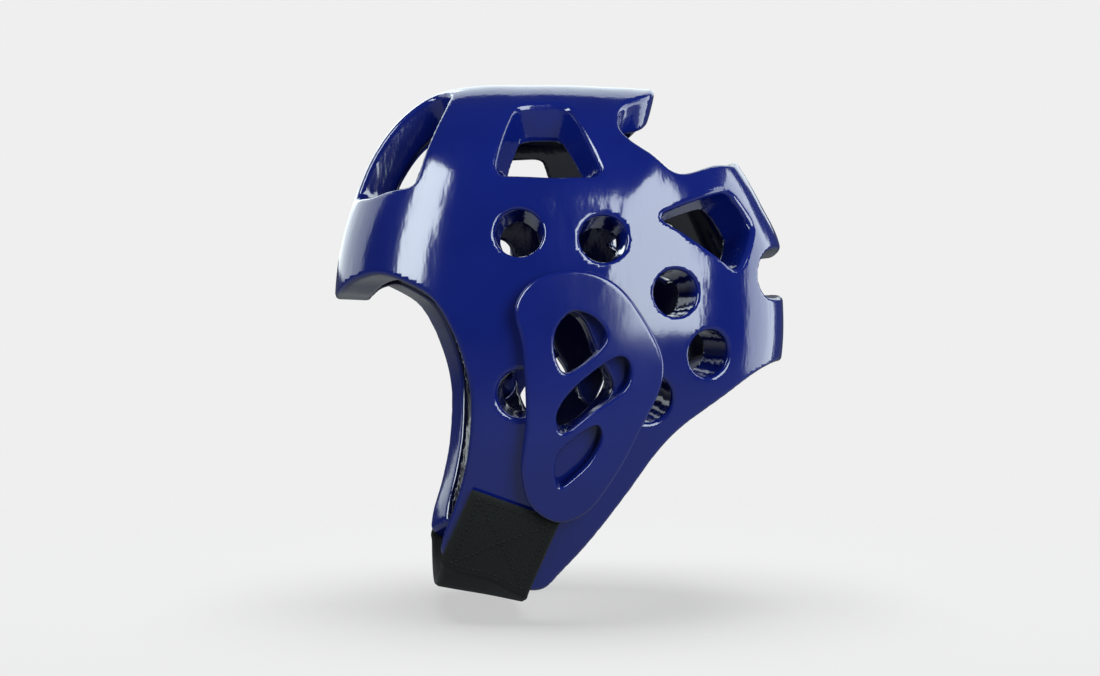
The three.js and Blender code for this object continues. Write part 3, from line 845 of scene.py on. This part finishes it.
def jaw_end_height(y, rim):
    """Height of the jaw end at places from front to back."""
    lowest = np.zeros(len(y))
    for a, b in zip(rim[:-1], rim[1:]):
        across = (a[1] - y) * (b[1] - y) <= 0
        height = a[2] + (b[2] - a[2]) * (y - a[1]) / (b[1] - a[1] if b[1] != a[1] else 1e-9)
        lowest = np.where(across, np.minimum(lowest, height), lowest)
    return lowest


class StrapPath:
    """Places on the strap's inner face: along from its end to under the chin, and across it."""

    def __init__(self, form, strap, guards):
        self.form, self.strap = form, strap
        self.rim = form.smooth_line(form.from_directions(LOWER_RIM), False, 4)
        guard = form.round_the_ear(GUARD_OUTLINE, guards.width, guards.height)
        self.guard = Outline(form, form.smooth_line(guard, True, 2.0))
        self.gap = 3 * guards.gap

    def jaw(self, share, side):
        """Places on the jaw, share 0 at the strap's end and 1 at the fold."""
        half, strap = self.form.half, self.strap
        middle = (STRAP_TOP[0] + (STRAP_FOLD_BACK - STRAP_TOP[0]) * share) * half[1]
        y = middle + side * math.cos(strap.slant)
        top = STRAP_TOP[1] * half[2] - side * math.sin(strap.slant)
        fold = jaw_end_height(STRAP_FOLD_BACK * half[1] + side * math.cos(strap.slant), self.rim)
        fold = fold - strap.gap
        return self.form.from_side(y, top + (fold - top) * share)

    def start(self, side):
        """Share where each line along the strap comes out from beside the guard."""
        shares = np.linspace(0, 1, 161)
        first = []
        for s in side:
            p = self.jaw(shares, np.full(len(shares), s))
            under = self.guard.depth(p, self.form.normal(p)) > -self.gap
            first.append(shares[np.flatnonzero(under)[-1]] if under.any() else 0.0)
        first = np.array(first)
        for _ in range(2):
            first[1:-1] = 0.25 * first[:-2] + 0.5 * first[1:-1] + 0.25 * first[2:]
        return first

    def lines(self, side, jaw_rows, chin_rows):
        """Rows of places and outward directions for one half of the loop."""
        start = self.start(side)
        rows, normals = [], []
        for share in np.linspace(0, 1, jaw_rows):
            p = self.jaw(start + (1 - start) * share, side)
            rows.append(p)
            normals.append(self.form.normal(p))
        fold, fold_normal = rows[-1], normals[-1]
        for i in range(1, chin_rows + 1):
            inward = 1 - i / chin_rows
            shape = inward * inward
            y = STRAP_FOLD_BACK * self.form.half[1] + side * math.cos(self.strap.tilt)
            z = -self.strap.drop - side * math.sin(self.strap.tilt)
            rows.append(np.stack([
                fold[:, 0] * inward, y + (fold[:, 1] - y) * shape, z + (fold[:, 2] - z) * shape,
            ], axis=1))
            outward = fold_normal[:, 0] * inward * 0.5
            down = np.stack([outward, 0 * side, -np.ones(len(side))], axis=1)
            normals.append(down / np.linalg.norm(down, axis=1, keepdims=True))
        rows, normals = np.array(rows), np.array(normals)
        for _ in range(3):
            normals[1:-1] = 0.25 * normals[:-2] + 0.5 * normals[1:-1] + 0.25 * normals[2:]
        return rows, normals / np.linalg.norm(normals, axis=2, keepdims=True)


def whole_loop(rows):
    return np.concatenate([rows, rows[-2::-1] * (-1, 1, 1)])


class HEADGEAR_OT_chin_strap(bpy.types.Operator):
    """Make the wide webbing chin strap as one loop from jaw to jaw"""

    bl_idname = "headgear.chin_strap"
    bl_label = "Chin Strap"

    def execute(self, context):
        strap = context.scene.headgear_strap
        form = HeadForm(context.scene.headgear_foam)
        path = StrapPath(form, strap, context.scene.headgear_guards)
        across = STRAP_COLUMNS
        side = np.linspace(-0.5, 0.5, across) * strap.width
        rows, normals = path.lines(side, JAW_ROWS, CHIN_ROWS)
        rows, normals = whole_loop(rows), whole_loop(normals)
        edge = strap.thickness / 2
        from_edge = np.minimum(side - side[0], side[-1] - side)
        round_off = np.clip(from_edge / edge, 0, 1)
        half = edge * np.sqrt(np.maximum(1 - (1 - round_off) ** 2, 0.04))
        ends = np.minimum(np.arange(len(rows)), np.arange(len(rows))[::-1])
        half = half[None, :] * np.where(ends == 0, 0.35, np.where(ends == 1, 0.8, 1.0))[:, None]
        middle = rows + normals * (strap.gap + edge)
        outer = middle + normals * half[..., None]
        inner = middle - normals * half[..., None]
        count = len(rows)
        points = np.concatenate([outer.reshape(-1, 3), inner.reshape(-1, 3)])
        index = np.arange(count * across).reshape(count, across)
        low = index + count * across
        quads = []

        def patch(grid, flip):
            q = np.stack([grid[:-1, :-1], grid[1:, :-1], grid[1:, 1:], grid[:-1, 1:]], axis=-1)
            quads.append(q.reshape(-1, 4)[:, ::-1] if flip else q.reshape(-1, 4))

        patch(index, False)
        patch(low, True)
        patch(np.stack([low[:, 0], index[:, 0]], axis=1), False)
        patch(np.stack([index[:, -1], low[:, -1]], axis=1), False)
        patch(np.stack([low[0], index[0]]), False)
        patch(np.stack([index[-1], low[-1]]), False)
        faces = np.concatenate(quads)
        piece = mesh_piece("webbing_strap", points, faces)
        recalculated(piece)
        along = np.concatenate([[0], np.cumsum(
            np.linalg.norm(np.diff(middle[:, across // 2], axis=0), axis=1)
        )])
        flat = np.stack(np.broadcast_arrays(side[None, :], along[:, None]), axis=-1).reshape(-1, 2)
        flat = np.concatenate([flat, flat])
        layer = piece.data.uv_layers.new(name="webbing")
        corner = np.empty(len(piece.data.loops), int)
        piece.data.loops.foreach_get("vertex_index", corner)
        layer.data.foreach_set("uv", flat[corner].ravel())
        piece.data.materials.append(woven("black webbing"))
        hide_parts("chin_strap")
        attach(piece, ROOT)
        return {"FINISHED"}


def recalculated(piece):
    """Turns the piece's faces outwards."""
    bm = bmesh.new()
    bm.from_mesh(piece.data)
    bmesh.ops.recalc_face_normals(bm, faces=bm.faces)
    bm.to_mesh(piece.data)
    bm.free()
    piece.data.update()


# Half a stitch as a share of the step to the next, then the thread's radius, its lift off the
# webbing, and the length along the strap that the seam is taken as a share of, in millimetres
HALF_STITCH = 0.36
THREAD_RADIUS = 0.38
THREAD_LIFT = 0.05
SEAM_SPAN = 70


def stitch_tree():
    """Lays a short rounded stitch at even steps along curves."""
    tree = bpy.data.node_groups.new("stitches", "GeometryNodeTree")
    face = tree.interface
    face.new_socket("Geometry", in_out="INPUT", socket_type="NodeSocketGeometry")
    for name, value in (("Stitch", 0.003), ("Thread", 0.0006)):
        socket = face.new_socket(name, in_out="INPUT", socket_type="NodeSocketFloat")
        socket.default_value = value
    face.new_socket("Finish", in_out="INPUT", socket_type="NodeSocketMaterial")
    face.new_socket("Geometry", in_out="OUTPUT", socket_type="NodeSocketGeometry")
    nodes = Nodes(tree)
    start = nodes.add("NodeGroupInput")
    steps = nodes.add("GeometryNodeCurveToPoints", {
        "Curve": start.outputs["Geometry"], "Length": start.outputs["Stitch"],
    }, mode="LENGTH")
    length = nodes.add("ShaderNodeMath", {
        0: start.outputs["Stitch"], 1: HALF_STITCH,
    }, operation="MULTIPLY")
    bead = nodes.add("GeometryNodeMeshUVSphere", {
        "Segments": 6, "Rings": 4, "Radius": start.outputs["Thread"],
    })
    ratio = nodes.add("ShaderNodeMath", {
        0: length.outputs["Value"], 1: start.outputs["Thread"],
    }, operation="DIVIDE")
    size = nodes.add("ShaderNodeCombineXYZ", {"X": 1.0, "Y": 1.0, "Z": ratio.outputs["Value"]})
    laid = nodes.add("GeometryNodeInstanceOnPoints", {
        "Points": steps.outputs["Points"], "Instance": bead.outputs["Mesh"],
        "Rotation": steps.outputs["Rotation"], "Scale": size.outputs["Vector"],
    })
    real = nodes.add("GeometryNodeRealizeInstances", {"Geometry": laid.outputs["Instances"]})
    smooth = nodes.add("GeometryNodeSetShadeSmooth", {"Geometry": real.outputs["Geometry"]})
    painted = nodes.add("GeometryNodeSetMaterial", {
        "Geometry": smooth.outputs["Geometry"], "Material": start.outputs["Finish"],
    })
    nodes.add("NodeGroupOutput", {"Geometry": painted.outputs["Geometry"]})
    return tree


class HEADGEAR_OT_stitching(bpy.types.Operator):
    """Sew a box with a cross through the strap on each jaw"""

    bl_idname = "headgear.stitching"
    bl_label = "Strap Stitching"

    def execute(self, context):
        strap = context.scene.headgear_strap
        form = HeadForm(context.scene.headgear_foam)
        path = StrapPath(form, strap, context.scene.headgear_guards)
        across = np.linspace(-0.5, 0.5, STRAP_COLUMNS)
        start = path.start(across * strap.width)

        def place(u, share):
            s = np.interp(u, across, start)
            inset = strap.seam / SEAM_SPAN
            share = s + (1 - s) * (inset + share * (1 - 2 * inset))
            p = path.jaw(share, u * strap.width)
            return p + form.normal(p) * (strap.gap + strap.thickness + THREAD_LIFT)

        edge = 0.5 - strap.seam / strap.width
        t = np.linspace(0, 1, 40)
        across_box = -edge + 2 * edge * t
        runs = [
            place(0 * t - edge, t), place(0 * t + edge, t),
            place(across_box, 0 * t), place(across_box, 0 * t + 1),
            place(across_box, t), place(across_box, 1 - t),
        ]
        curve = bpy.data.curves.new("stitch_paths", "CURVE")
        curve.dimensions = "3D"
        for flip in (1, -1):
            for run in runs:
                points = (run * (flip, 1, 1) - (0, 0, form.seat_height)) * MM
                spline = curve.splines.new("POLY")
                spline.points.add(len(points) - 1)
                spline.points.foreach_set("co", np.c_[points, np.ones(len(points))].ravel())
        path_object = placed("stitch_paths", curve)
        finish = thread_finish("black thread")
        tree = stitch_tree()
        modifier = path_object.modifiers.new("stitches", "NODES")
        modifier.node_group = tree
        named = {item.name: item.identifier for item in tree.interface.items_tree
                 if item.in_out == "INPUT"}
        modifier[named["Stitch"]] = strap.stitch * MM
        modifier[named["Thread"]] = THREAD_RADIUS * MM
        modifier[named["Finish"]] = finish
        context.view_layer.update()
        ready = path_object.evaluated_get(context.evaluated_depsgraph_get())
        mesh = bpy.data.meshes.new_from_object(ready)
        bpy.data.objects.remove(path_object)
        mesh.name = "strap_stitching"
        if not mesh.materials:
            mesh.materials.append(finish)
        piece = placed("strap_stitching", mesh)
        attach(piece, ROOT)
        return {"FINISHED"}


def soft_light(name, azimuth, elevation, size, power, tint=(1, 1, 1)):
    """A soft panel that faces the headgear from a direction, in degrees from the face."""
    a, e = math.radians(azimuth), math.radians(elevation)
    direction = Vector((math.sin(a) * math.cos(e), -math.cos(a) * math.cos(e), math.sin(e)))
    light = bpy.data.lights.new(name, "AREA")
    light.shape = "RECTANGLE"
    light.size, light.size_y = size
    light.energy = power
    light.color = tint
    panel = placed(name, light)
    panel.location = Vector(LIGHT_TARGET) + direction * LIGHT_DISTANCE
    panel.rotation_euler = direction.to_track_quat("Z", "Y").to_euler()
    panel.visible_camera = False
    return panel


def link_lights(name, lights, floor, state):
    """Keeps lights for the floor alone, or keeps them off it."""
    group = bpy.data.collections.new(name)
    group.objects.link(floor)
    group.collection_objects[0].light_linking.link_state = state
    for light in lights:
        light.light_linking.receiver_collection = group


class HEADGEAR_OT_stage(bpy.types.Operator):
    """Set up the floor, the soft lights and the camera"""

    bl_idname = "headgear.stage"
    bl_label = "Studio"

    def execute(self, context):
        scene = context.scene
        stage, finish = scene.headgear_stage, scene.headgear_finishes
        form = HeadForm(scene.headgear_foam)
        toward = Vector((math.sin(stage.azimuth), -math.cos(stage.azimuth), 0))
        middle = Vector((0, stage.target_back, stage.target_up - form.seat_height)) * MM
        camera = bpy.data.cameras.new("camera")
        camera.sensor_width = 36
        camera.lens = 36 * stage.focal
        camera.clip_start, camera.clip_end = 0.02, 50
        viewer = placed("camera", camera)
        viewer.location = middle + toward * stage.distance * MM
        viewer.rotation_euler = toward.to_track_quat("Z", "Y").to_euler()
        scene.camera = viewer

        lowest = CAD_BOX[0][2] - FLOOR_GAP
        angles = np.linspace(0, 2 * math.pi, FLOOR_SIDES, endpoint=False)
        points = [(FLOOR_RADIUS * math.cos(a), FLOOR_RADIUS * math.sin(a), lowest) for a in angles]
        mesh = bpy.data.meshes.new("floor")
        mesh.from_pydata(points, [], [list(range(FLOOR_SIDES))])
        floor = placed("floor", mesh)
        material, nodes = new_material("pale floor")
        place = nodes.add("ShaderNodeTexCoord").outputs["Object"]
        round_middle = nodes.add("ShaderNodeMapping", {"Vector": place, "Scale": (1, 1, 0)})
        away = nodes.add("ShaderNodeVectorMath", {
            0: round_middle.outputs["Vector"],
        }, operation="LENGTH")
        fade = nodes.add("ShaderNodeMapRange", {
            "Value": away.outputs["Value"], "From Min": 0.2, "From Max": 0.75, "To Min": 0.0,
            "To Max": 1.0,
        }, interpolation_type="SMOOTHSTEP")
        paper = nodes.add("ShaderNodeBsdfDiffuse", {"Color": (*finish.floor, 1), "Roughness": 0.5})
        glow = nodes.add("ShaderNodeEmission", {"Color": GROUND_GREY, "Strength": 0.62})
        lit_paper = nodes.add("ShaderNodeAddShader", {
            0: paper.outputs["BSDF"], 1: glow.outputs["Emission"],
        })
        clear = nodes.add("ShaderNodeBsdfTransparent")
        mix = nodes.add("ShaderNodeMixShader", {
            "Fac": fade.outputs["Result"], 1: lit_paper.outputs["Shader"], 2: clear.outputs["BSDF"],
        })
        nodes.add("ShaderNodeOutputMaterial", {"Surface": mix.outputs["Shader"]})
        mesh.materials.append(material)
        floor.visible_glossy = False
        floor.visible_diffuse = False

        world = bpy.data.worlds.new("pale ground")
        scene.world = world
        world.use_nodes = True
        nodes = Nodes(world.node_tree)
        seen = nodes.add("ShaderNodeBackground", {"Color": GROUND_GREY, "Strength": 1.0})
        direction = nodes.add("ShaderNodeTexCoord").outputs["Generated"]
        height = nodes.add("ShaderNodeSeparateXYZ", {"Vector": direction}).outputs["Z"]
        lower = nodes.add("ShaderNodeMapRange", {
            "Value": height, "From Min": -0.02, "From Max": -0.5, "To Min": 0.085, "To Max": 0.45,
        }, interpolation_type="SMOOTHSTEP")
        lit = nodes.add("ShaderNodeBackground", {
            "Color": (0.87, 0.95, 1.0, 1), "Strength": lower.outputs["Result"],
        })
        path = nodes.add("ShaderNodeLightPath")
        both = nodes.add("ShaderNodeMixShader", {
            "Fac": path.outputs["Is Camera Ray"], 1: lit.outputs["Background"],
            2: seen.outputs["Background"],
        })
        nodes.add("ShaderNodeOutputWorld", {"Surface": both.outputs["Shader"]})

        scene.view_settings.view_transform = "Standard"
        panels = [soft_light(*panel, tint=COOL_WHITE) for panel in PANELS]
        link_lights("headgear_light", panels, floor, "EXCLUDE")
        floor_light = soft_light("floor_light", 83, 89, (1.25, 1.25), 29)
        floor_light.visible_glossy = False
        link_lights("floor_light", (floor_light,), floor, "INCLUDE")
        return {"FINISHED"}


class HEADGEAR_PT_panel(bpy.types.Panel):
    """Lists the sizes and the pieces of the headgear"""

    bl_idname = "HEADGEAR_PT_panel"
    bl_label = "Headgear"
    bl_space_type = "VIEW_3D"
    bl_region_type = "UI"
    bl_category = "Headgear"

    def draw(self, context):
        scene = context.scene
        for label, group in (
            ("Shell", scene.headgear_foam), ("Ear guards", scene.headgear_guards),
            ("Chin strap", scene.headgear_strap), ("Finishes", scene.headgear_finishes),
            ("Studio", scene.headgear_stage),
        ):
            box = self.layout.box()
            box.label(text=label)
            for name in group.bl_rna.properties.keys():
                if name not in {"rna_type", "name"}:
                    box.prop(group, name)
        for operator in OPERATORS:
            self.layout.operator(operator.bl_idname)


GROUPS = (FoamSizes, GuardSizes, StrapSizes, Finishes, StageSizes)
OPERATORS = (
    HEADGEAR_OT_stage, HEADGEAR_OT_shell, HEADGEAR_OT_ear_guards, HEADGEAR_OT_chin_strap,
    HEADGEAR_OT_stitching,
)
PROPERTIES = {
    "headgear_foam": FoamSizes, "headgear_guards": GuardSizes, "headgear_strap": StrapSizes,
    "headgear_finishes": Finishes, "headgear_stage": StageSizes,
}


def register():
    for cls in (*GROUPS, *OPERATORS, HEADGEAR_PT_panel):
        bpy.utils.register_class(cls)
    for name, group in PROPERTIES.items():
        setattr(bpy.types.Scene, name, PointerProperty(type=group))


def unregister():
    for name in PROPERTIES:
        delattr(bpy.types.Scene, name)
    for cls in reversed((*GROUPS, *OPERATORS, HEADGEAR_PT_panel)):
        bpy.utils.unregister_class(cls)


def main():
    register()
    bpy.ops.headgear.stage()
    bpy.ops.headgear.shell()
    bpy.ops.headgear.ear_guards()
    bpy.ops.headgear.chin_strap()
    bpy.ops.headgear.stitching()


if __name__ == "__main__":
    main()
